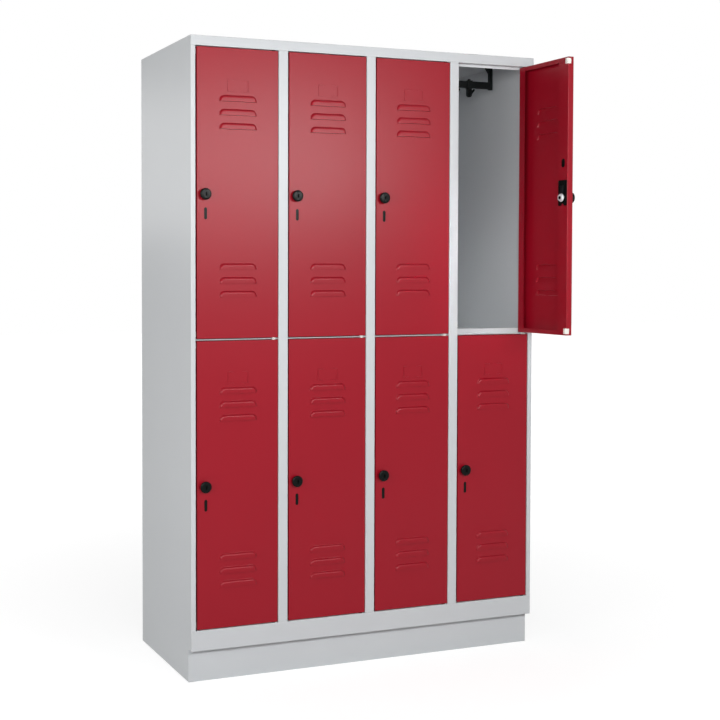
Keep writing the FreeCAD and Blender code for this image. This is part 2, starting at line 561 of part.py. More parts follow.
post_mirror.Normal = FreeCAD.Vector(1, 0, 0)
bar_run = span("0", f"( {HALF_RAIL} - post_width )")
coat_rail = fuse("coat_rail", [
    post, post_mirror,
    box("bar", bar_run, span("0", "rail_thick / 2"), (BAR_FOOT, BAR_TOP)),
    box("rib_head", bar_run, span("0", RIB_FACE), (f"{BAR_TOP} - rib_height", BAR_TOP)),
    box("rib_foot", bar_run, span("0", RIB_FACE), (BAR_FOOT, f"{BAR_FOOT} + rib_height")),
])

# Coat hooks: a band round the bar, a tongue below it and a prong that rises to the front, three to a rail
BAND_FACE = f"( {RIB_FACE} + band_play + band_wall )"
BAND_TOP = f"( {BAR_TOP} + band_play + band_wall )"
BAND_FOOT = f"( {BAR_FOOT} - band_play - band_wall )"
TONGUE_FOOT = f"( {BAND_FOOT} - tongue_drop )"
prong_z = f"( {TONGUE_FOOT} + prong_radius )"
prong = doc.addObject("Part::Cylinder", "prong")
turn_axis(prong, (1, 0, 0), 1)
move(bind(prong, Radius="prong_radius", Height="prong_length", Placement__Rotation__Angle="90 - prong_tilt"),
     z=prong_z)
tip = doc.addObject("Part::Sphere", "prong_tip")
move(bind(tip, Radius="prong_radius"), "0", "- prong_length * cos( prong_tilt * 1 deg )",
     f"{prong_z} + prong_length * sin( prong_tilt * 1 deg )")
band_outer = box("band_outer", span("0", "band_width / 2"), span("0", BAND_FACE), (BAND_FOOT, BAND_TOP))
band = cut("band", band_outer, box(
    "band_inner", span("0", "band_width"), span("0", f"( {RIB_FACE} + band_play )"),
    (f"{BAR_FOOT} - band_play", f"{BAR_TOP} + band_play")))
hook = fuse("hook", [
    band, prong, tip,
    box("hook_bump", span("0", "band_width / 4"), span("0", "tongue_thick / 2"),
        (BAND_TOP, f"{BAND_TOP} + bump_height")),
    box("hook_tongue", span("0", "tongue_width / 2"), span("0", "tongue_thick / 2"),
        (TONGUE_FOOT, BAND_FOOT)),
])
hook_row = group("hook_row", [copy_at(f"hook_{number}", hook,
                                      x=f"hook_shift + hook_pitch * {number - (HOOKS_PER_RAIL - 1) / 2}")
                              for number in range(HOOKS_PER_RAIL)])

# Every column and tier gets a door with its lock and buffers, and a rail with its hooks
DOOR_FOOT = {"lower": f"{FLOOR_TOP} + door_gap", "upper": f"{SHELF_TOP} + door_gap"}
RAIL_TOP = {"lower": f"{SHELF_TOP} - gauge", "upper": CEILING}
DOOR_PIECES = (("door", door), ("lock_case", lock_case), ("lock_knob", knob), ("lock_cam", cam_set),
               ("door_buffers", buffer_pair))
rails = []
for column in range(1, COLUMNS + 1):
    for tier in TIERS:
        place = f"{column}_{tier}"
        for word, source in DOOR_PIECES:
            piece = copy_at(f"{word}_{place}", source, f"{column_x(column)} + {PIVOT_X}", PIVOT_Y,
                            DOOR_FOOT[tier])
            if (column, tier) == OPEN_DOOR:
                turn_axis(piece, (0, 0, 1), size("open_angle"))
                bind(piece, Placement__Rotation__Angle="open_angle")
            keep(piece, f"{word}_{place}")
        at_rail = (column_x(column), f"{FRONT} + rail_back", RAIL_TOP[tier])
        rails.append(copy_at(f"coat_rail_{place}", coat_rail, *at_rail))
        keep(copy_at(f"coat_hooks_{place}", hook_row, *at_rail), f"coat_hooks_{place}")
keep(group("rails", rails), "coat_rails")

doc.recompute()
for obj in doc.Objects:
    if "Invalid" in obj.State or "Error" in obj.State:
        raise RuntimeError(f"{obj.Label} failed: {obj.State}")
for obj in parts:
    if obj.Shape.isNull() or not obj.Shape.isValid() or not obj.Shape.Solids:
        raise RuntimeError(f"{obj.Label} has no valid solid")
os.makedirs("parts", exist_ok=True)
for obj in parts:
    obj.Shape.exportStep(f"parts/{obj.Label}.step")
print(len(parts), "sub-parts written")
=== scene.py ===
import math

import bmesh
import bpy
from mathutils import Matrix, Vector


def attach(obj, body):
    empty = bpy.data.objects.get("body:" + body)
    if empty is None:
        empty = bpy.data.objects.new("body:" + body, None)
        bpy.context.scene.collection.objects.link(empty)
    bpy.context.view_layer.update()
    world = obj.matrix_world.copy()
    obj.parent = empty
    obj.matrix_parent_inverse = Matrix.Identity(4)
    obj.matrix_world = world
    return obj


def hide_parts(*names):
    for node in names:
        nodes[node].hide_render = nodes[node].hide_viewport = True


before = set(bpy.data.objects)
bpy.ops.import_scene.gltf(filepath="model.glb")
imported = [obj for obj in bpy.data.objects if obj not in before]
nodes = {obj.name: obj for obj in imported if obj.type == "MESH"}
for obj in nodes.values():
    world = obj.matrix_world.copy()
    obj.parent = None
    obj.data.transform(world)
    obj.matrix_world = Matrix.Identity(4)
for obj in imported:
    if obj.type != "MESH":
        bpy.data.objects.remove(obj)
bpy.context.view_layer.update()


# Plinth: a kick board with a foot flange and a channel from front to back that carries the floor.
# Folded from 0.8 mm steel sheet, spot welded, and powder coated light grey with the rest of the carcass.
def linear(code):
    """An sRGB hex colour as linear RGBA."""
    channels = [int(code[i:i + 2], 16) / 255 for i in (1, 3, 5)]
    return [c / 12.92 if c <= 0.04045 else ((c + 0.055) / 1.055) ** 2.4 for c in channels] + [1]


def add_node(owner, kind, settings, **inputs):
    """Add a shader node with its settings and give its inputs, by name or i and number, values or links."""
    node = owner.node_tree.nodes.new(kind)
    for key, value in settings.items():
        setattr(node, key, value)
    for key, value in inputs.items():
        numbered = key[0] == "i" and key[1:].isdigit()
        socket = node.inputs[int(key[1:])] if numbered else node.inputs[key.replace("_", " ")]
        if isinstance(value, bpy.types.NodeSocket):
            owner.node_tree.links.new(value, socket)
        else:
            socket.default_value = value
    return node


def new_material(name):
    material = bpy.data.materials.new(name)
    material.use_nodes = True
    material.node_tree.nodes.clear()
    return material


# Polyester powder coat, baked on: an even colour with soft clouds of film thickness half a metre across,
# satin gloss, and an orange peel whose real 1 to 2 mm ripple is drawn at 4 mm so that it shows.
def powder_coat(name, deep, light):
    material = new_material(name)
    place = add_node(material, "ShaderNodeTexCoord", {}).outputs["Object"]
    cloud = add_node(material, "ShaderNodeTexNoise", {}, Vector=place, Scale=2.0, Detail=3.0)
    shade = add_node(material, "ShaderNodeMix", {"data_type": "RGBA"}, Factor=cloud.outputs["Fac"],
                     i6=linear(deep), i7=linear(light))
    peel = add_node(material, "ShaderNodeTexNoise", {}, Vector=place, Scale=250.0, Detail=2.0)
    bump = add_node(material, "ShaderNodeBump", {}, Strength=0.06, Distance=0.0004,
                    Height=peel.outputs["Fac"])
    rough = add_node(material, "ShaderNodeMapRange", {}, Value=cloud.outputs["Fac"], i3=0.27, i4=0.33)
    shader = add_node(material, "ShaderNodeBsdfPrincipled", {}, Base_Color=shade.outputs[2],
                      Roughness=rough.outputs["Result"], Normal=bump.outputs["Normal"])
    shader.inputs["Specular IOR Level"].default_value = 0.22
    add_node(material, "ShaderNodeOutputMaterial", {}, Surface=shader.outputs["BSDF"])
    return material


def dress(piece, material):
    piece.data.materials.clear()
    piece.data.materials.append(material)


grey_coat = powder_coat("powder_coat_light_grey", "#c0c3c6", "#c7cacc")
dress(nodes["plinth_frame"], grey_coat)

# Floor: a steel sheet folded down into the bottom fascia and back over the plinth. Its folds have the press
# brake's small outer radius, and an upstand is welded on behind each door as its stop.
MM = 0.001
TINY = MM / 10
GAUGE = 0.8 * MM
BEND = 1.6 * MM
PITCH = 300 * MM
HALF_OPENING = 135 * MM
HALF_WIDTH = 600 * MM
FRONT = -250 * MM
BACK = 250 * MM
PLINTH_TOP = 100 * MM
FLOOR_TOP = 162.5 * MM
FLOOR_PLAY = 0.2 * MM
FLOOR_RETURN = 36 * MM
UPSTAND = 16 * MM
STOP_FRONT = FRONT + 26 * MM
COLUMNS = {1: -1.5 * PITCH, 2: -0.5 * PITCH, 3: 0.5 * PITCH, 4: 1.5 * PITCH}


def alone(piece):
    """Make a piece the active object and the only one selected."""
    bpy.ops.object.select_all(action="DESELECT")
    piece.select_set(True)
    bpy.context.view_layer.objects.active = piece


def pick(kind, chosen):
    """In edit mode, select only the faces, edges or verts that the test chooses."""
    bpy.ops.mesh.select_mode(type={"faces": "FACE", "edges": "EDGE", "verts": "VERT"}[kind])
    bpy.ops.mesh.select_all(action="DESELECT")
    mesh = bmesh.from_edit_mesh(bpy.context.object.data)
    for item in getattr(mesh, kind):
        if chosen(item):
            item.select_set(True)
    mesh.select_flush_mode()
    bmesh.update_edit_mesh(bpy.context.object.data)


def settle(piece):
    """Put the object's place, turn and scale into its mesh."""
    alone(piece)
    bpy.ops.object.transform_apply(location=True, rotation=True, scale=True)


def apply_modifier(piece, kind, **settings):
    alone(piece)
    modifier = piece.modifiers.new(kind.lower(), kind)
    for key, value in settings.items():
        setattr(modifier, key, value)
    bpy.ops.object.modifier_apply(modifier=modifier.name)


def smooth(piece, angle=35):
    """Smooth the rounded edges and keep the flats flat."""
    alone(piece)
    bpy.ops.object.shade_smooth_by_angle(angle=math.radians(angle))
    apply_modifier(piece, "WEIGHTED_NORMAL", keep_sharp=True)


def join(pieces, name):
    alone(pieces[0])
    for piece in pieces[1:]:
        piece.select_set(True)
    if len(pieces) > 1:
        bpy.ops.object.join()
    piece = bpy.context.object
    piece.name = name
    piece.data.name = name
    return piece


def is_fold(edge):
    return len(edge.link_faces) == 2 and edge.calc_face_angle() > math.radians(40)


def bend_and_thicken(piece):
    """In edit mode on a sheet's outer surface: round its folds, then give it the gauge inwards."""
    pick("edges", is_fold)
    bpy.ops.mesh.bevel(offset=BEND, segments=3, affect="EDGES")
    bpy.ops.object.mode_set(mode="OBJECT")
    apply_modifier(piece, "SOLIDIFY", thickness=GAUGE, offset=-1, use_even_offset=True)


def folded_sheet(corner, run, folds):
    """A sheet that starts as one flange, its free edge drawn out fold by fold, with the folds along run."""
    corner, run, first = Vector(corner), Vector(run), Vector(folds[0])
    turn = Matrix((run.normalized(), first.normalized(), run.cross(first).normalized())).transposed()
    bpy.ops.object.select_all(action="DESELECT")
    bpy.ops.mesh.primitive_plane_add(size=1, location=corner + (run + first) / 2, rotation=turn.to_euler())
    piece = bpy.context.object
    piece.scale = (run.length, first.length, 1)
    settle(piece)
    bpy.ops.object.mode_set(mode="EDIT")
    far = corner + first
    pick("edges", lambda edge: all((v.co - far).cross(run).length < MM * MM for v in edge.verts))
    for fold in folds[1:]:
        bpy.ops.mesh.extrude_region_move(TRANSFORM_OT_translate={"value": fold})
    bend_and_thicken(piece)
    return piece


floor_half = HALF_WIDTH - FLOOR_PLAY
floor_run = (-2 * floor_half, 0, 0)
floor_sheets = [folded_sheet((floor_half, BACK - GAUGE, FLOOR_TOP), floor_run, [
    (0, FRONT - BACK + GAUGE, 0), (0, 0, PLINTH_TOP - FLOOR_TOP), (0, FLOOR_RETURN, 0)])]
for x in COLUMNS.values():
    upstand_corner = (x - HALF_OPENING, STOP_FRONT, FLOOR_TOP - GAUGE)
    floor_sheets.append(folded_sheet(upstand_corner, (2 * HALF_OPENING, 0, 0), [(0, 0, UPSTAND + GAUGE)]))
floor_panel = join(floor_sheets, "floor_panel_folded")
smooth(floor_panel)
dress(floor_panel, grey_coat)
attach(floor_panel, "carcass")
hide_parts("floor_panel")

# Side panels: one sheet each, folded in front into a stile and a jamb and at the foot into a flange.
# The toe is notched out for the plinth, and the sheet stops short behind the floor's and roof's fascias.
CEILING = 1949.2 * MM
FASCIA_UNDER = 1920 * MM
TOE = FRONT + 28 * MM
STILE_DEPTH = 22 * MM
FOOT_FLANGE = 20 * MM
half_stile = 15 * MM
fascia_back = FRONT + MM
for node, side in (("left_side_panel", -1), ("right_side_panel", 1)):
    bpy.ops.object.select_all(action="DESELECT")
    bpy.ops.mesh.primitive_plane_add(size=1, location=(side * HALF_WIDTH, 0, CEILING / 2),
                                     rotation=(0, side * math.pi / 2, 0))
    panel = bpy.context.object
    panel.scale = (CEILING, BACK - FRONT, 1)
    settle(panel)
    bpy.ops.object.mode_set(mode="EDIT")
    for place, across in (((0, 0, PLINTH_TOP), (0, 0, 1)), ((0, 0, FLOOR_TOP), (0, 0, 1)),
                          ((0, 0, FASCIA_UNDER), (0, 0, 1)), ((0, TOE, 0), (0, 1, 0)),
                          ((0, fascia_back, 0), (0, 1, 0))):
        bpy.ops.mesh.select_all(action="SELECT")
        bpy.ops.mesh.bisect(plane_co=place, plane_no=across)
    pick("faces", lambda face: face.calc_center_median().y < TOE
         and face.calc_center_median().z < PLINTH_TOP)
    bpy.ops.mesh.delete(type="FACE")
    pick("faces", lambda face: face.calc_center_median().y < fascia_back
         and not FLOOR_TOP < face.calc_center_median().z < FASCIA_UNDER)
    bpy.ops.mesh.delete(type="FACE")
    pick("edges", lambda edge: all(v.co.y < FRONT + TINY for v in edge.verts))
    bpy.ops.mesh.extrude_region_move(TRANSFORM_OT_translate={"value": (-side * half_stile, 0, 0)})
    bpy.ops.mesh.extrude_region_move(TRANSFORM_OT_translate={"value": (0, STILE_DEPTH, 0)})
    pick("edges", lambda edge: all(v.co.z < TINY for v in edge.verts))
    bpy.ops.mesh.extrude_region_move(TRANSFORM_OT_translate={"value": (-side * FOOT_FLANGE, 0, 0)})
    bend_and_thicken(panel)
    panel = join([panel], node + "_folded")
    smooth(panel)
    dress(panel, grey_coat)
    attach(panel, "carcass")
    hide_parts(node)

# Partitions: a hollow stile, folded as a channel open to the back, and welded to the sheet that parts two
# columns. Sheet and channel are 0.8 mm steel under the same grey coat.
for number in (1, 2, 3):
    x = (number - 2) * PITCH
    channel = folded_sheet((x - half_stile, FRONT + STILE_DEPTH, FLOOR_TOP),
                           (0, 0, FASCIA_UNDER - FLOOR_TOP),
                           [(0, -STILE_DEPTH, 0), (2 * half_stile, 0, 0), (0, STILE_DEPTH, 0)])
    web = folded_sheet((x - GAUGE / 2, BACK - GAUGE, FLOOR_TOP), (0, 0, CEILING - FLOOR_TOP),
                       [(0, FRONT - BACK + GAUGE + STILE_DEPTH / 2, 0)])
    partition = join([channel, web], f"partition_{number}_folded")
    smooth(partition)
    dress(partition, grey_coat)
    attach(partition, "carcass")
    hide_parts(f"partition_{number}")

# Back panel: one flat sheet between the side panels, held by rows of pop rivets to the sides and partitions.
# The rivets have domed aluminium heads with the broken mandrel's dimple, coated over with the carcass.
dress(nodes["back_panel"], grey_coat)
RIVET_RADIUS = 4.4 * MM
RIVET_RISE = 1.7 * MM
RIVET_ROUND = 1.3 * MM
MANDREL_RIM = 1.6 * MM
MANDREL_DEPTH = 0.9 * MM
RIVET_EDGE = 588 * MM
RIVET_FOOT = 120 * MM
RIVET_PITCH = 298 * MM
RIVET_ROWS = 7
bpy.ops.object.select_all(action="DESELECT")
bpy.ops.mesh.primitive_cylinder_add(vertices=16, radius=RIVET_RADIUS, depth=RIVET_RISE, end_fill_type="NGON",
                                    location=(0, BACK + RIVET_RISE / 2, 0), rotation=(-math.pi / 2, 0, 0))
rivet = bpy.context.object
settle(rivet)
bpy.ops.object.mode_set(mode="EDIT")
pick("edges", lambda edge: all(v.co.y > BACK + RIVET_RISE / 2 for v in edge.verts))
bpy.ops.mesh.bevel(offset=RIVET_ROUND, segments=3, affect="EDGES")
pick("faces", lambda face: face.normal.y > 0.99)
bpy.ops.mesh.inset(thickness=MANDREL_RIM)
bpy.ops.mesh.extrude_region_move(TRANSFORM_OT_translate={"value": (0, -MANDREL_DEPTH, 0)})
bpy.ops.object.mode_set(mode="OBJECT")
rivets = []
for x in (-RIVET_EDGE, -PITCH, 0, PITCH, RIVET_EDGE):
    for row in range(RIVET_ROWS):
        alone(rivet)
        bpy.ops.object.duplicate()
        bpy.context.object.location = (x, 0, RIVET_FOOT + row * RIVET_PITCH)
        settle(bpy.context.object)
        rivets.append(bpy.context.object)
bpy.data.objects.remove(rivet)
rivets = join(rivets, "back_rivets")
smooth(rivets)
dress(rivets, grey_coat)
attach(rivets, "carcass")

# Tier shelves: four steel sheets, hemmed in front, with door stops folded above and below.
# They are spot welded between the columns' walls and coated with the carcass.
dress(nodes["tier_shelves"], grey_coat)

# Roof: a steel sheet folded down into the front fascia and back into the hinge flange, with a stop behind
# each door. The flange is nicked beside every lock stile, where the press tool needs room.
ROOF_TOP = 1950 * MM
ROOF_STOP = 8 * MM
roof_sheets = [folded_sheet((HALF_WIDTH, BACK, ROOF_TOP), (-2 * HALF_WIDTH, 0, 0), [
    (0, FRONT - BACK, 0), (0, 0, FASCIA_UNDER - ROOF_TOP), (0, STOP_FRONT - FRONT + GAUGE, 0)])]


def box_at(low, high):
    """A cube primitive at its size and place."""
    low, high = Vector(low), Vector(high)
    bpy.ops.object.select_all(action="DESELECT")
    bpy.ops.mesh.primitive_cube_add(size=1, location=(low + high) / 2)
    bpy.context.object.scale = high - low
    settle(bpy.context.object)
    return bpy.context.object


def cut_away(piece, cutters):
    """Cut the cutters out of a piece and throw them away."""
    cutter = join(cutters, "cutter")
    apply_modifier(piece, "BOOLEAN", operation="DIFFERENCE", solver="EXACT", object=cutter)
    bpy.data.objects.remove(cutter)


RELIEF = 16 * MM
reliefs = []
for x in COLUMNS.values():
    left = x - HALF_OPENING
    reliefs.append(box_at((left, STOP_FRONT - RELIEF, FASCIA_UNDER - MM),
                          (left + RELIEF, STOP_FRONT - 0.1 * MM, FASCIA_UNDER + 2 * MM)))
cut_away(roof_sheets[0], reliefs)
for x in COLUMNS.values():
    roof_sheets.append(folded_sheet((x - HALF_OPENING, STOP_FRONT, FASCIA_UNDER - ROOF_STOP),
                                    (2 * HALF_OPENING, 0, 0), [(0, 0, ROOF_STOP)]))
roof_panel = join(roof_sheets, "roof_panel_folded")
smooth(roof_panel)
dress(roof_panel, grey_coat)
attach(roof_panel, "carcass")
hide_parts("roof_panel")

# Hinge pivots: stepped nylon pins that the doors turn on, pressed into roof, shelves and floor.
# Those in the shelves are natural white with a collar above and below, the others are black.
PIN_RADIUS = 3 * MM
COLLAR_RADIUS = 7 * MM
COLLAR = 2.3 * MM
PIN_UP = 10.3 * MM
PIN_ROOT = 2.8 * MM
PIVOT_X = 120.5 * MM
PIVOT_Y = FRONT + 8 * MM
SHELF_UNDER = 1040.25 * MM
SHELF_TOP = 1042.25 * MM


# Moulded plastic: an even colour with a slight bloom 17 mm across, waxy or glossy as it left the tool, and
# the tool's spark-eroded grain, really a tenth of a millimetre, drawn at 1 mm so that it shows.
def moulded(name, deep, light, gloss, grain, shine):
    material = new_material(name)
    place = add_node(material, "ShaderNodeTexCoord", {}).outputs["Object"]
    bloom = add_node(material, "ShaderNodeTexNoise", {}, Vector=place, Scale=60.0, Detail=3.0)
    shade = add_node(material, "ShaderNodeMix", {"data_type": "RGBA"}, Factor=bloom.outputs["Fac"],
                     i6=linear(deep), i7=linear(light))
    spark = add_node(material, "ShaderNodeTexNoise", {}, Vector=place, Scale=1000.0, Detail=2.0)
    bump = add_node(material, "ShaderNodeBump", {}, Strength=grain, Distance=0.0002,
                    Height=spark.outputs["Fac"])
    rough = add_node(material, "ShaderNodeMapRange", {}, Value=bloom.outputs["Fac"],
                     i3=gloss - 0.05, i4=gloss + 0.05)
    shader = add_node(material, "ShaderNodeBsdfPrincipled", {}, Base_Color=shade.outputs[2],
                      Roughness=rough.outputs["Result"], Normal=bump.outputs["Normal"])
    shader.inputs["Specular IOR Level"].default_value = shine
    add_node(material, "ShaderNodeOutputMaterial", {}, Surface=shader.outputs["BSDF"])
    return material


white_nylon = moulded("moulded_nylon_white", "#e4e2da", "#efeee8", 0.45, 0.1, 0.3)
black_nylon = moulded("moulded_nylon_black", "#0c0f0f", "#131616", 0.42, 0.25, 0.1)


def disc_at(radius, low, high, vertices=32):
    """A cylinder primitive from the middle of one end to the middle of the other."""
    low, high = Vector(low), Vector(high)
    bpy.ops.object.select_all(action="DESELECT")
    bpy.ops.mesh.primitive_cylinder_add(
        vertices=vertices, radius=radius, depth=(high - low).length, location=(low + high) / 2,
        rotation=(high - low).to_track_quat("Z", "Y").to_euler())
    settle(bpy.context.object)
    return bpy.context.object


def soften(piece, width, segments=2, angle=35):
    """Round the hard edges by a small bevel and smooth them."""
    apply_modifier(piece, "BEVEL", width=width, segments=segments, limit_method="ANGLE",
                   angle_limit=math.radians(angle))
    smooth(piece, angle)


def pivot_pins(name, low, high, collars, material):
    solids = []
    for column in COLUMNS.values():
        x = column + PIVOT_X
        solids.append(disc_at(PIN_RADIUS, (x, PIVOT_Y, low), (x, PIVOT_Y, high)))
        for foot in collars:
            solids.append(disc_at(COLLAR_RADIUS, (x, PIVOT_Y, foot), (x, PIVOT_Y, foot + COLLAR)))
    pins = join(solids, name)
    soften(pins, 0.5 * MM)
    dress(pins, material)
    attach(pins, "carcass")
    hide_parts("hinge_pivots")


pivot_pins("roof_pivots", FASCIA_UNDER - PIN_UP, FASCIA_UNDER + PIN_ROOT, [FASCIA_UNDER - COLLAR],
           black_nylon)
pivot_pins("shelf_pivots", SHELF_UNDER - PIN_UP, SHELF_TOP + PIN_UP, [SHELF_UNDER - COLLAR, SHELF_TOP],
           white_nylon)
pivot_pins("floor_pivots", FLOOR_TOP - PIN_ROOT, FLOOR_TOP + PIN_UP, [FLOOR_TOP], black_nylon)

# Coat rails: a ribbed bar on two posts with gussets, moulded in one from black nylon.
# Each is riveted under the roof or a shelf, a little behind the middle of the compartment's front half.
HALF_RAIL = 123.2 * MM
POST_WIDTH = 12 * MM
POST_HALF = 6 * MM
BAR_TOP = -53 * MM
BAR_FOOT = -76 * MM
BAR_HALF = 5 * MM
RIB_HEIGHT = 3 * MM
RIB_RISE = 1.2 * MM
POST_FOOT = BAR_FOOT - 3 * MM
GUSSET_HEIGHT = 22 * MM
GUSSET_LENGTH = 16 * MM
GUSSET_TAPER = 15 * MM
RAIL_Y = FRONT + 212 * MM
TIER_CEILING = {"lower": SHELF_TOP - GAUGE, "upper": CEILING}
PLACES = [(column, tier) for column in COLUMNS for tier in ("lower", "upper")]
post_inner = HALF_RAIL - POST_WIDTH
rail_solids = []
for side in (-1, 1):
    post = box_at((side * HALF_RAIL if side < 0 else post_inner, -POST_HALF, POST_FOOT),
                  (-post_inner if side < 0 else HALF_RAIL, POST_HALF, 0))
    bpy.ops.object.mode_set(mode="EDIT")
    bpy.ops.mesh.select_all(action="SELECT")
    bpy.ops.mesh.bisect(plane_co=(0, 0, -GUSSET_HEIGHT), plane_no=(0, 0, 1))
    pick("faces", lambda face: face.normal.x * side < -0.9
         and face.calc_center_median().z > -GUSSET_HEIGHT)
    bpy.ops.mesh.extrude_region_move(TRANSFORM_OT_translate={"value": (-side * GUSSET_LENGTH, 0, 0)})
    pick("verts", lambda v: abs(v.co.x) < post_inner - MM and v.co.z < -MM)
    bpy.ops.transform.translate(value=(side * GUSSET_TAPER, 0, 0))
    bpy.ops.object.mode_set(mode="OBJECT")
    rail_solids.append(post)
bar = box_at((-post_inner - MM, -BAR_HALF, BAR_FOOT), (post_inner + MM, BAR_HALF, BAR_TOP))
bpy.ops.object.mode_set(mode="EDIT")
for level in (BAR_FOOT + RIB_HEIGHT, BAR_TOP - RIB_HEIGHT):
    bpy.ops.mesh.select_all(action="SELECT")
    bpy.ops.mesh.bisect(plane_co=(0, 0, level), plane_no=(0, 0, 1))
middle = (BAR_TOP + BAR_FOOT) / 2
for facing in (-1, 1):
    pick("faces", lambda face: face.normal.y * facing > 0.9
         and abs(face.calc_center_median().z - middle) > RIB_HEIGHT)
    bpy.ops.mesh.extrude_region_move(TRANSFORM_OT_translate={"value": (0, facing * RIB_RISE, 0)})
bpy.ops.object.mode_set(mode="OBJECT")
rail = join(rail_solids + [bar], "coat_rail")
soften(rail, 0.7 * MM)
dress(rail, black_nylon)


def copy_to(master, name, place, turn=0.0):
    """A copy of a modelled piece with its own mesh, turned about Z and moved to its place."""
    alone(master)
    bpy.ops.object.duplicate()
    piece = bpy.context.object
    piece.location = place
    piece.rotation_euler = (0, 0, turn)
    settle(piece)
    piece.name = name
    piece.data.name = name
    return piece


for column, tier in PLACES:
    piece = copy_to(rail, f"coat_rail_{column}_{tier}", (COLUMNS[column], RAIL_Y, TIER_CEILING[tier]))
    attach(piece, "carcass")
    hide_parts("coat_rails")
bpy.data.objects.remove(rail)

# Coat hooks: three on every rail, each a band that slides along the bar with a tongue and a prong below it.
# Moulded from the same black nylon, with all edges rounded for the clothes.
BAND_HALF = 9 * MM
BAND_WALL = 2.6 * MM
BAND_PLAY = 0.3 * MM
band_face = BAR_HALF + RIB_RISE + BAND_PLAY + BAND_WALL
band_top = BAR_TOP + BAND_PLAY + BAND_WALL
band_foot = BAR_FOOT - BAND_PLAY - BAND_WALL
TONGUE_HALF = 10 * MM
TONGUE_WALL = 3.5 * MM
TONGUE_ROUND = 8 * MM
BUMP_RISE = 5 * MM
tongue_foot = band_foot - 28 * MM
PRONG_RADIUS = 4 * MM
PRONG_LENGTH = 34 * MM
prong_tilt = math.radians(28)
band = box_at((-BAND_HALF, -band_face, band_foot), (BAND_HALF, band_face, band_top))
bpy.ops.object.mode_set(mode="EDIT")
pick("faces", lambda face: abs(face.normal.x) > 0.9)
bpy.ops.mesh.inset(thickness=BAND_WALL)
bpy.ops.mesh.bridge_edge_loops()
bpy.ops.object.mode_set(mode="OBJECT")
tongue = box_at((-TONGUE_HALF, -TONGUE_WALL, tongue_foot), (TONGUE_HALF, TONGUE_WALL, band_foot))
bpy.ops.object.mode_set(mode="EDIT")
pick("edges", lambda edge: all(v.co.z < tongue_foot + MM for v in edge.verts)
     and abs(edge.verts[0].co.y - edge.verts[1].co.y) > MM)
bpy.ops.mesh.bevel(offset=TONGUE_ROUND, segments=6, affect="EDGES")
bpy.ops.object.mode_set(mode="OBJECT")
bump_block = box_at((-BAND_HALF / 2, -TONGUE_WALL, band_top),
                    (BAND_HALF / 2, TONGUE_WALL, band_top + BUMP_RISE))
prong_root = Vector((0, 0, tongue_foot + PRONG_RADIUS))
prong_way = Vector((0, -math.cos(prong_tilt), math.sin(prong_tilt)))
prong_end = prong_root + (PRONG_LENGTH + PRONG_RADIUS) * prong_way
prong = disc_at(PRONG_RADIUS, prong_root, prong_end, vertices=20)
bpy.ops.object.mode_set(mode="EDIT")
pick("edges", lambda edge: all(v.co.y < prong_end.y / 2 for v in edge.verts))
bpy.ops.mesh.bevel(offset=0.9 * PRONG_RADIUS, segments=5, affect="EDGES")
bpy.ops.object.mode_set(mode="OBJECT")
smooth(prong)
hook = join([band, tongue, bump_block], "coat_hook")
soften(hook, 1.0 * MM)
hook = join([hook, prong], "coat_hook")
dress(hook, black_nylon)
HOOK_PITCH = 57 * MM
HOOK_SHIFT = -24 * MM
for column, tier in PLACES:
    middle_hook = COLUMNS[column] + HOOK_SHIFT
    row = [copy_to(hook, "hook", (middle_hook + step * HOOK_PITCH, RAIL_Y, TIER_CEILING[tier]))
           for step in (-1, 0, 1)]
    piece = join(row, f"coat_hooks_{column}_{tier}_moulded")
    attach(piece, f"hooks_{column}_{tier}")
    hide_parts(f"coat_hooks_{column}_{tier}")
bpy.data.objects.remove(hook)

# Doors: pans folded from 0.8 mm steel with returns on all four edges, six louvres and two label brackets
# pressed out of the skin, and holes for the turn lock, powder coated ruby. One door is modelled on its
# hinge axis, x = 0 and y = 0, and copied.
ruby_coat = powder_coat("powder_coat_ruby", "#8e0a1d", "#940c1f")
FREE_EDGE = -251 * MM
HINGE_EDGE = 12 * MM
FACE = -8 * MM
INNER = 12 * MM
DOOR_HEIGHT = 872.75 * MM
END_RETURN = 14 * MM
LOCK_RETURN = 48 * MM
HINGE_RETURN = 30 * MM
DOOR_MIDDLE = (FREE_EDGE + HINGE_EDGE) / 2
NEAR_MIDDLE = 20 * MM
pan = box_at((FREE_EDGE, FACE, 0), (HINGE_EDGE, INNER, DOOR_HEIGHT))
bpy.ops.object.mode_set(mode="EDIT")
pick("faces", lambda face: face.normal.y > 0.9)
bpy.ops.mesh.inset(thickness=END_RETURN)
pick("verts", lambda v: v.co.y > 0 and abs(v.co.x - FREE_EDGE - END_RETURN) < MM)
bpy.ops.transform.translate(value=(LOCK_RETURN - END_RETURN, 0, 0))
pick("verts", lambda v: v.co.y > 0 and abs(v.co.x - HINGE_EDGE + END_RETURN) < MM)
bpy.ops.transform.translate(value=(END_RETURN - HINGE_RETURN, 0, 0))
pick("faces", lambda face: face.normal.y > 0.9
     and abs(face.calc_center_median().x - DOOR_MIDDLE) < NEAR_MIDDLE
     and abs(face.calc_center_median().z - DOOR_HEIGHT / 2) < NEAR_MIDDLE)
bpy.ops.mesh.delete(type="FACE")
bend_and_thicken(pan)

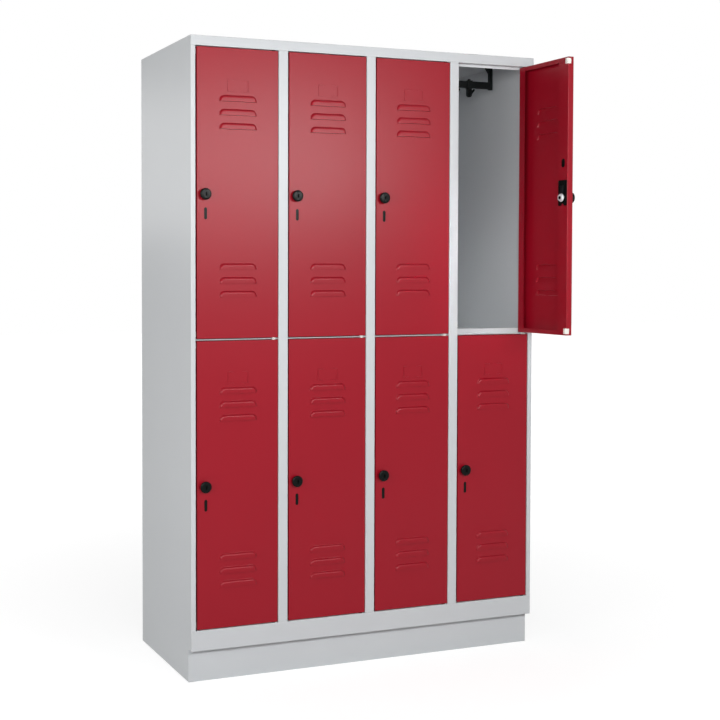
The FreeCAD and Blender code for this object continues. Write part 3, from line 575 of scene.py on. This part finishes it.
LOUVRE_HALF = 59.5 * MM
LOUVRE_HEIGHT = 18 * MM
LOUVRE_CORNER = 16.5 * MM
LOUVRE_BLEND = 1.2 * MM
LOUVRE_STEPS = ((2.4 * MM, 0.5 * MM), (1.8 * MM, 1.4 * MM), (1.1 * MM, 2 * MM), (0.7 * MM, 2.6 * MM))
LOUVRE_PITCH = 41.5 * MM
LOWEST_LOUVRES = (124.5 * MM, 629.75 * MM)
louvre_feet = [lowest + step * LOUVRE_PITCH for lowest in LOWEST_LOUVRES for step in (0, 1, 2)]
hood_face = FACE - 0.05 * MM
bpy.ops.object.select_all(action="DESELECT")
bpy.ops.mesh.primitive_plane_add(size=1, location=(DOOR_MIDDLE, hood_face, LOUVRE_HEIGHT / 2),
                                 rotation=(math.pi / 2, 0, 0))
hood = bpy.context.object
hood.scale = (2 * (LOUVRE_HALF + LOUVRE_BLEND), LOUVRE_HEIGHT + 2 * LOUVRE_BLEND, 1)
settle(hood)
bpy.ops.object.mode_set(mode="EDIT")
pick("verts", lambda v: v.co.z > LOUVRE_HEIGHT)
bpy.ops.mesh.bevel(offset=LOUVRE_CORNER, segments=8, affect="VERTICES")
pick("faces", lambda face: True)
bpy.ops.mesh.inset(thickness=LOUVRE_BLEND)
half, height = LOUVRE_HALF, LOUVRE_HEIGHT
for rise, lean in LOUVRE_STEPS:
    bpy.ops.mesh.extrude_region_move(TRANSFORM_OT_translate={"value": (0, -rise, 0)})
    bpy.ops.transform.resize(value=(1 - lean / half, 1, 1 - lean / height),
                             center_override=(DOOR_MIDDLE, 0, 0))
    half -= lean
    height -= lean
pick("faces", lambda face: face.calc_center_median().z < TINY)
bpy.ops.mesh.delete(type="FACE")
pick("edges", lambda edge: is_fold(edge) and all(v.co.y > hood_face - TINY for v in edge.verts))
bpy.ops.mesh.bevel(offset=LOUVRE_BLEND, segments=3, affect="EDGES")
bpy.ops.object.mode_set(mode="OBJECT")
apply_modifier(hood, "SOLIDIFY", thickness=GAUGE, offset=-1)
smooth(hood, 50)

LABEL_HALF = 34 * MM
LABEL_FOOT = DOOR_HEIGHT - 130 * MM
LABEL_HEIGHT = 36 * MM
LABEL_BEAD = 2 * MM
LABEL_ARM = 19 * MM
LABEL_THICK = 2 * MM
brackets = []
for side in (-1, 1):
    bpy.ops.object.select_all(action="DESELECT")
    bracket_x = DOOR_MIDDLE + side * (LABEL_HALF - LABEL_BEAD / 2)
    bpy.ops.mesh.primitive_plane_add(size=1, location=(bracket_x, FACE, LABEL_FOOT + LABEL_HEIGHT / 2),
                                     rotation=(math.pi / 2, 0, 0))
    bracket = bpy.context.object
    bracket.scale = (LABEL_BEAD, LABEL_HEIGHT, 1)
    settle(bracket)
    bpy.ops.object.mode_set(mode="EDIT")
    for level in (LABEL_FOOT + LABEL_BEAD, LABEL_FOOT + LABEL_HEIGHT - LABEL_BEAD):
        bpy.ops.mesh.select_all(action="SELECT")
        bpy.ops.mesh.bisect(plane_co=(0, 0, level), plane_no=(0, 0, 1))
    pick("edges", lambda edge: abs(edge.verts[0].co.x - edge.verts[1].co.x) < TINY
         and side * (edge.verts[0].co.x - DOOR_MIDDLE) < LABEL_HALF - LABEL_BEAD / 2
         and edge.calc_length() < 2 * LABEL_BEAD)
    bpy.ops.mesh.extrude_region_move(TRANSFORM_OT_translate={"value": (-side * LABEL_ARM, 0, 0)})
    bpy.ops.mesh.select_all(action="SELECT")
    bpy.ops.mesh.normals_make_consistent(inside=False)
    bpy.ops.object.mode_set(mode="OBJECT")
    apply_modifier(bracket, "SOLIDIFY", thickness=LABEL_THICK, offset=0.3)
    soften(bracket, 0.35 * MM)
    brackets.append(bracket)

LOCK_X = FREE_EDGE + 24 * MM
LOCK_Z = 433.5 * MM
SLOT_X = FREE_EDGE + 27.5 * MM
SLOT_Z = LOCK_Z - 57.5 * MM
PORT_Z = LOCK_Z + 109 * MM
SLOT_WIDTH = 10 * MM
SLOT_HEIGHT = 36 * MM
PORT_WIDTH = 18 * MM
PORT_HEIGHT = 28 * MM
SPINDLE_HOLE = 5.1 * MM
PIVOT_HOLE = PIN_RADIUS + 0.1 * MM


def oblong_at(x, z, width, height, front, back):
    """A block with fully rounded ends, standing upright."""
    block = box_at((x - width / 2, front, z - height / 2), (x + width / 2, back, z + height / 2))
    bpy.ops.object.mode_set(mode="EDIT")
    pick("edges", lambda edge: abs(edge.verts[0].co.y - edge.verts[1].co.y) > TINY)
    bpy.ops.mesh.bevel(offset=0.499 * width, segments=8, affect="EDGES")
    bpy.ops.object.mode_set(mode="OBJECT")
    return block


throat = box_at((DOOR_MIDDLE - LOUVRE_HALF + MM, FACE - MM, TINY),
                (DOOR_MIDDLE + LOUVRE_HALF - MM, FACE + 2 * MM, LOUVRE_HEIGHT - MM))
bpy.ops.object.mode_set(mode="EDIT")
pick("edges", lambda edge: abs(edge.verts[0].co.y - edge.verts[1].co.y) > MM
     and edge.verts[0].co.z > LOUVRE_HEIGHT / 2)
bpy.ops.mesh.bevel(offset=LOUVRE_CORNER - MM, segments=8, affect="EDGES")
bpy.ops.object.mode_set(mode="OBJECT")
holes = [copy_to(throat, "throat", (0, 0, foot)) for foot in louvre_feet]
bpy.data.objects.remove(throat)
holes.append(disc_at(SPINDLE_HOLE, (LOCK_X, FACE - MM, LOCK_Z), (LOCK_X, INNER + MM, LOCK_Z)))
holes.append(oblong_at(SLOT_X, SLOT_Z, SLOT_WIDTH, SLOT_HEIGHT, FACE - MM, FACE + 2 * MM))
holes.append(oblong_at(LOCK_X, PORT_Z, PORT_WIDTH, PORT_HEIGHT, INNER - 2 * MM, INNER + MM))
holes.append(disc_at(PIVOT_HOLE, (0, 0, -MM), (0, 0, 2 * MM)))
holes.append(disc_at(PIVOT_HOLE, (0, 0, DOOR_HEIGHT - 2 * MM), (0, 0, DOOR_HEIGHT + MM)))
cut_away(pan, holes)
smooth(pan)
hoods = [copy_to(hood, "hood", (0, 0, foot)) for foot in louvre_feet]
bpy.data.objects.remove(hood)
door = join([pan] + hoods + brackets, "door")
dress(door, ruby_coat)
DOOR_GAP = 2.5 * MM
DOOR_FOOT = {"lower": FLOOR_TOP + DOOR_GAP, "upper": SHELF_TOP + DOOR_GAP}
OPEN_DOOR = (4, "upper")
OPEN_ANGLE = math.radians(91)


def hang(master, word, body):
    """Copies of a piece modelled in the door's own frame, one to each door, turned with the open one."""
    node = {"lock_nut": "lock_cam"}.get(word, word)
    for column, tier in PLACES:
        piece = copy_to(master, f"{word}_{column}_{tier}_made",
                        (COLUMNS[column] + PIVOT_X, PIVOT_Y, DOOR_FOOT[tier]),
                        OPEN_ANGLE if (column, tier) == OPEN_DOOR else 0.0)
        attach(piece, f"{body}_{column}_{tier}")
        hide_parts(f"{node}_{column}_{tier}")
    bpy.data.objects.remove(master)


hang(door, "door", "door")

# Lock cases: a moulded plate with a raised rim, forked at its foot, screwed on the inside of every door,
# and plugs that close the hasp slot in the skin and the port in the return. Black ABS.
black_abs = moulded("moulded_abs_black", "#090c0b", "#0f1211", 0.22, 0.2, 0.08)
CASE_HALF = 21 * MM
CASE_THICK = 2.2 * MM
CASE_CORNER = 3 * MM
CASE_RIM = 2.2 * MM
CASE_SINK = 0.7 * MM
FORK_WIDTH = 14 * MM
FORK_HEIGHT = 20 * MM
PLUG_PLAY = 0.2 * MM
case_foot = LOCK_Z - 25 * MM
case_head = LOCK_Z + 55 * MM
fork_middle = case_foot - 3 * MM
case = box_at((LOCK_X - CASE_HALF, INNER, case_foot), (LOCK_X + CASE_HALF, INNER + CASE_THICK, case_head))
bpy.ops.object.mode_set(mode="EDIT")
pick("edges", lambda edge: abs(edge.verts[0].co.y - edge.verts[1].co.y) > MM)
bpy.ops.mesh.bevel(offset=CASE_CORNER, segments=4, affect="EDGES")
pick("faces", lambda face: face.normal.y > 0.9)
bpy.ops.mesh.inset(thickness=CASE_RIM)
bpy.ops.mesh.extrude_region_move(TRANSFORM_OT_translate={"value": (0, -CASE_SINK, 0)})
bpy.ops.object.mode_set(mode="OBJECT")
cut_away(case, [
    disc_at(SPINDLE_HOLE, (LOCK_X, INNER - MM, LOCK_Z), (LOCK_X, INNER + 5 * MM, LOCK_Z)),
    oblong_at(LOCK_X, fork_middle, FORK_WIDTH, FORK_HEIGHT, INNER - MM, INNER + 5 * MM),
])
soften(case, 0.3 * MM)
slot_plug = oblong_at(SLOT_X, SLOT_Z, SLOT_WIDTH - PLUG_PLAY, SLOT_HEIGHT - PLUG_PLAY,
                      FACE + 0.3 * MM, FACE + 2.3 * MM)
port_plug = oblong_at(LOCK_X, PORT_Z, PORT_WIDTH - PLUG_PLAY, PORT_HEIGHT - PLUG_PLAY,
                      INNER - 2.3 * MM, INNER - GAUGE)
plugs = join([slot_plug, port_plug], "plugs")
soften(plugs, 0.3 * MM)
case = join([case, plugs], "lock_case")
dress(case, black_abs)
hang(case, "lock_case", "door")


# Cams: pressed steel tongues that turn behind the stile, keyed on the spindle. Black-passivated zinc plate:
# dark, with a soft metallic sheen that varies a little where the bath ran off.
def plated(name, deep, light, gloss, metal):
    material = new_material(name)
    place = add_node(material, "ShaderNodeTexCoord", {}).outputs["Object"]
    bath = add_node(material, "ShaderNodeTexNoise", {}, Vector=place, Scale=90.0, Detail=4.0)
    shade = add_node(material, "ShaderNodeMix", {"data_type": "RGBA"}, Factor=bath.outputs["Fac"],
                     i6=linear(deep), i7=linear(light))
    rough = add_node(material, "ShaderNodeMapRange", {}, Value=bath.outputs["Fac"],
                     i3=gloss - 0.06, i4=gloss + 0.06)
    shader = add_node(material, "ShaderNodeBsdfPrincipled", {}, Base_Color=shade.outputs[2],
                      Roughness=rough.outputs["Result"])
    shader.inputs["Metallic"].default_value = metal
    add_node(material, "ShaderNodeOutputMaterial", {}, Surface=shader.outputs["BSDF"])
    return material


black_zinc = plated("black_passivated_zinc", "#1c1d1f", "#2a2b2e", 0.42, 1.0)
CAM_HALF = 8 * MM
CAM_FRONT = FACE + 23 * MM
CAM_BACK = CAM_FRONT + 2.5 * MM
CAM_TIP = LOCK_Z + 39 * MM
CAM_CORNER = 2 * MM
cam = box_at((LOCK_X - CAM_HALF, CAM_FRONT, LOCK_Z - CAM_HALF), (LOCK_X + CAM_HALF, CAM_BACK, CAM_TIP))
bpy.ops.object.mode_set(mode="EDIT")
pick("edges", lambda edge: abs(edge.verts[0].co.y - edge.verts[1].co.y) > MM
     and edge.verts[0].co.z < LOCK_Z)
bpy.ops.mesh.bevel(offset=0.998 * CAM_HALF, segments=8, affect="EDGES")
pick("edges", lambda edge: abs(edge.verts[0].co.y - edge.verts[1].co.y) > MM
     and edge.verts[0].co.z > CAM_TIP - MM)
bpy.ops.mesh.bevel(offset=CAM_CORNER, segments=4, affect="EDGES")
bpy.ops.object.mode_set(mode="OBJECT")
cut_away(cam, [disc_at(SPINDLE_HOLE, (LOCK_X, CAM_FRONT - MM, LOCK_Z), (LOCK_X, CAM_BACK + MM, LOCK_Z))])
soften(cam, 0.35 * MM)
dress(cam, black_zinc)
hang(cam, "lock_cam", "lock")

# Clamp nuts: hexagon nuts with a round flange, screwed on the spindles to hold the cams.
# Turned from steel and zinc plated, brighter than the cams.
bright_zinc = plated("bright_zinc_plate", "#d2d4d6", "#e0e1e3", 0.42, 0.45)
NUT_FRONT = CAM_BACK + 1.5 * MM
NUT_BACK = NUT_FRONT + 5 * MM
FLANGE_RADIUS = 13 * MM
NUT_RADIUS = 12 * MM
NUT_LAP = 0.2 * MM
flange = disc_at(FLANGE_RADIUS, (LOCK_X, CAM_BACK, LOCK_Z), (LOCK_X, NUT_FRONT, LOCK_Z), vertices=40)
hexagon = disc_at(NUT_RADIUS, (LOCK_X, NUT_FRONT - NUT_LAP, LOCK_Z), (LOCK_X, NUT_BACK, LOCK_Z), vertices=6)
for ring in (flange, hexagon):
    cut_away(ring, [disc_at(SPINDLE_HOLE, (LOCK_X, CAM_BACK - MM, LOCK_Z), (LOCK_X, NUT_BACK + MM, LOCK_Z))])
    soften(ring, 0.4 * MM, 3)
nut = join([flange, hexagon], "lock_nut")
dress(nut, bright_zinc)
hang(nut, "lock_nut", "lock")

# Knobs: flared turning grips with a bar across the face and a key slot, moulded in black ABS on the spindle.
# The bar stands between two shallow flats sunk into the crown.
FOOT_RADIUS = 13 * MM
RIM = 17.5 * MM
CROWN = 12.5 * MM
GRIP_HALF = 4.5 * MM
GRIP_RISE = 0.8 * MM
KEY_WIDTH = 4.5 * MM
KEY_HEIGHT = 12 * MM
KEY_DEPTH = 7 * MM
SPINDLE_RADIUS = 5 * MM
SPINDLE_OVER = 1.5 * MM
knob_back = FACE - 0.2 * MM
knob_front = FACE - 17 * MM
grip_foot = knob_front + GRIP_RISE
knob = disc_at(FOOT_RADIUS, (LOCK_X, knob_back, LOCK_Z), (LOCK_X, FACE - MM, LOCK_Z), vertices=64)
bpy.ops.object.mode_set(mode="EDIT")
pick("faces", lambda face: face.normal.y < -0.9)
for reach, grow in ((8 * MM, RIM / FOOT_RADIUS), (4 * MM, 1.0), (4 * MM, CROWN / RIM)):
    bpy.ops.mesh.extrude_region_move(TRANSFORM_OT_translate={"value": (0, -reach, 0)})
    bpy.ops.transform.resize(value=(grow, 1, grow), center_override=(LOCK_X, 0, LOCK_Z))
bpy.ops.object.mode_set(mode="OBJECT")
soften(knob, 0.9 * MM, 3, 20)
flats_low = LOCK_Z - 2 * RIM
flats_high = LOCK_Z + 2 * RIM
cut_away(knob, [
    box_at((LOCK_X - 2 * RIM, knob_front - MM, flats_low), (LOCK_X - GRIP_HALF, grip_foot, flats_high)),
    box_at((LOCK_X + GRIP_HALF, knob_front - MM, flats_low), (LOCK_X + 2 * RIM, grip_foot, flats_high)),
    oblong_at(LOCK_X, LOCK_Z, KEY_WIDTH, KEY_HEIGHT, knob_front - MM, knob_front + KEY_DEPTH),
])
soften(knob, 0.4 * MM, 2, 40)
spindle = disc_at(SPINDLE_RADIUS, (LOCK_X, knob_back - MM, LOCK_Z), (LOCK_X, NUT_BACK + SPINDLE_OVER, LOCK_Z))
soften(spindle, 0.5 * MM)
knob = join([knob, spindle], "lock_knob")
dress(knob, black_abs)
hang(knob, "lock_knob", "lock")

# Corner buffers: white nylon caps clipped over the free edge at the head and foot of every door.
# A pad with a blind bore meets the stop, and a thin skirt wraps the edge.
PAD_WIDTH = 9 * MM
PAD_HEIGHT = 17 * MM
PAD_BACK = INNER + 5.5 * MM
PAD_LAP = 0.5 * MM
BORE_RADIUS = 2.2 * MM
BORE_DEPTH = 2.5 * MM
SKIRT_DEPTH = 9.5 * MM
pad_middle = FREE_EDGE + PAD_WIDTH / 2
caps = []
for low in (5 * MM, DOOR_HEIGHT - 22 * MM):
    pad = box_at((FREE_EDGE - PAD_LAP, INNER, low), (FREE_EDGE + PAD_WIDTH, PAD_BACK, low + PAD_HEIGHT))
    soften(pad, 0.8 * MM, 3)
    cut_away(pad, [disc_at(BORE_RADIUS, (pad_middle, PAD_BACK - BORE_DEPTH, low + PAD_HEIGHT / 2),
                           (pad_middle, PAD_BACK + MM, low + PAD_HEIGHT / 2))])
    skirt = box_at((FREE_EDGE - MM, INNER - SKIRT_DEPTH, low), (FREE_EDGE, PAD_BACK, low + PAD_HEIGHT))
    soften(skirt, 0.4 * MM)
    caps += [pad, skirt]
buffers = join(caps, "door_buffers")
dress(buffers, white_nylon)
hang(buffers, "door_buffers", "door")

# Studio: a plain pale floor that keeps the locker's shadow, a white surround that gives most of its light
# from behind, three softboxes in front and at the left, a small gridded lamp for the open compartment and
# a lamp behind.
bpy.ops.object.select_all(action="DESELECT")
bpy.ops.mesh.primitive_plane_add(size=40, location=(0, 0, 0))
floor = bpy.context.object
floor.name = "studio_floor"
white = new_material("studio_floor_white")


def seen_ray(owner):
    """One for a ray from the camera, a reflection or through glass, and zero for light on things."""
    path = add_node(owner, "ShaderNodeLightPath", {})
    seen = add_node(owner, "ShaderNodeMath", {"operation": "ADD", "use_clamp": True},
                    i0=path.outputs["Is Camera Ray"], i1=path.outputs["Is Glossy Ray"])
    return add_node(owner, "ShaderNodeMath", {"operation": "ADD", "use_clamp": True},
                    i0=seen.outputs[0], i1=path.outputs["Is Transmission Ray"]).outputs[0]


seen = seen_ray(white)
matt = add_node(white, "ShaderNodeBsdfDiffuse", {}, Color=linear("#e4e4e4"))
shadow = add_node(white, "ShaderNodeBsdfDiffuse", {}, Color=linear("#a0a0a0"))
spot = add_node(white, "ShaderNodeTexCoord", {}).outputs["Object"]
away = add_node(white, "ShaderNodeVectorMath", {"operation": "LENGTH"}, i0=spot).outputs["Value"]
pale = add_node(white, "ShaderNodeMapRange", {}, Value=away, i1=0.8, i2=3.5, i3=0.78, i4=1.0)
glow = add_node(white, "ShaderNodeEmission", {}, Color=linear("#ffffff"), Strength=pale.outputs[0])
shown = add_node(white, "ShaderNodeAddShader", {}, i0=shadow.outputs[0], i1=glow.outputs[0])
surface = add_node(white, "ShaderNodeMixShader", {}, i0=seen, i1=matt.outputs[0], i2=shown.outputs[0])
add_node(white, "ShaderNodeOutputMaterial", {}, Surface=surface.outputs[0])
floor.data.materials.append(white)

world = bpy.data.worlds.new("studio_surround")
bpy.context.scene.world = world
world.use_nodes = True
world.node_tree.nodes.clear()
seen = seen_ray(world)
aim = add_node(world, "ShaderNodeTexCoord", {}).outputs["Generated"]
ways = add_node(world, "ShaderNodeSeparateXYZ", {}, Vector=aim)
behind = add_node(world, "ShaderNodeMapRange", {}, Value=ways.outputs["Y"],
                  i1=0.0, i2=1.0, i3=0.0, i4=0.7)
above = add_node(world, "ShaderNodeMapRange", {}, Value=ways.outputs["Z"],
                 i1=0.0, i2=1.0, i3=0.0, i4=0.12)
fall = add_node(world, "ShaderNodeMath", {"operation": "ADD"}, i0=behind.outputs[0], i1=above.outputs[0])
level = add_node(world, "ShaderNodeMix", {"data_type": "FLOAT"}, i0=seen, i2=fall.outputs[0], i3=1.0)
sky = add_node(world, "ShaderNodeBackground", {}, Color=linear("#ffffff"), Strength=level.outputs[0])
add_node(world, "ShaderNodeOutputWorld", {}, Surface=sky.outputs[0])


def softbox(name, place, aim, width, height, watts, spread=180):
    """A soft rectangular lamp turned to a point, with a grid in front if its spread is under 180 degrees."""
    bpy.ops.object.light_add(type="AREA", location=place)
    lamp = bpy.context.object
    lamp.name = name
    lamp.data.shape = "RECTANGLE"
    lamp.data.size = width
    lamp.data.size_y = height
    lamp.data.energy = watts
    lamp.data.spread = math.radians(spread)
    lamp.rotation_euler = (Vector(aim) - lamp.location).to_track_quat("-Z", "Y").to_euler()


softbox("softbox_left", (-1.6, -3.4, 1.8), (-1.6, 0, 1.5), 3.2, 1.0, 76)
softbox("softbox_front", (0.95, -3.4, 1.9), (0.95, 0, 1.8), 1.4, 0.6, 46)
softbox("softbox_side", (-4.0, -2.1, 1.75), (-0.4, 0, 1.4), 2.2, 1.0, 52)
softbox("softbox_high", (-0.9, -2.6, 2.7), (0.6, 0.05, 1.1), 0.4, 0.4, 0.22, spread=10)
softbox("softbox_back", (-1.9, 3.6, 1.9), (-0.6, 0, 1.5), 1.2, 0.9, 5)

# The camera stands to the left of the locker at eye height and looks slightly down.
IMAGE = 720
FOCAL = 1284.62
CENTRE = (240, 310)
YAW = 0.3726
PITCH_DOWN = 0.0324
SENSOR = 36
CAMERA_PLACE = (-1.85912, -3.87394, 1.25607)
bpy.ops.object.camera_add(location=CAMERA_PLACE)
camera = bpy.context.object
camera.data.sensor_width = SENSOR
camera.data.lens = FOCAL / IMAGE * SENSOR
camera.data.shift_x = (IMAGE / 2 - CENTRE[0]) / IMAGE
camera.data.shift_y = (CENTRE[1] - IMAGE / 2) / IMAGE
level_way = math.cos(PITCH_DOWN)
ahead = Vector((math.sin(YAW) * level_way, math.cos(YAW) * level_way, -math.sin(PITCH_DOWN)))
camera.rotation_euler = ahead.to_track_quat("-Z", "Y").to_euler()
bpy.context.scene.camera = camera
bpy.context.scene.view_settings.view_transform = "Standard"
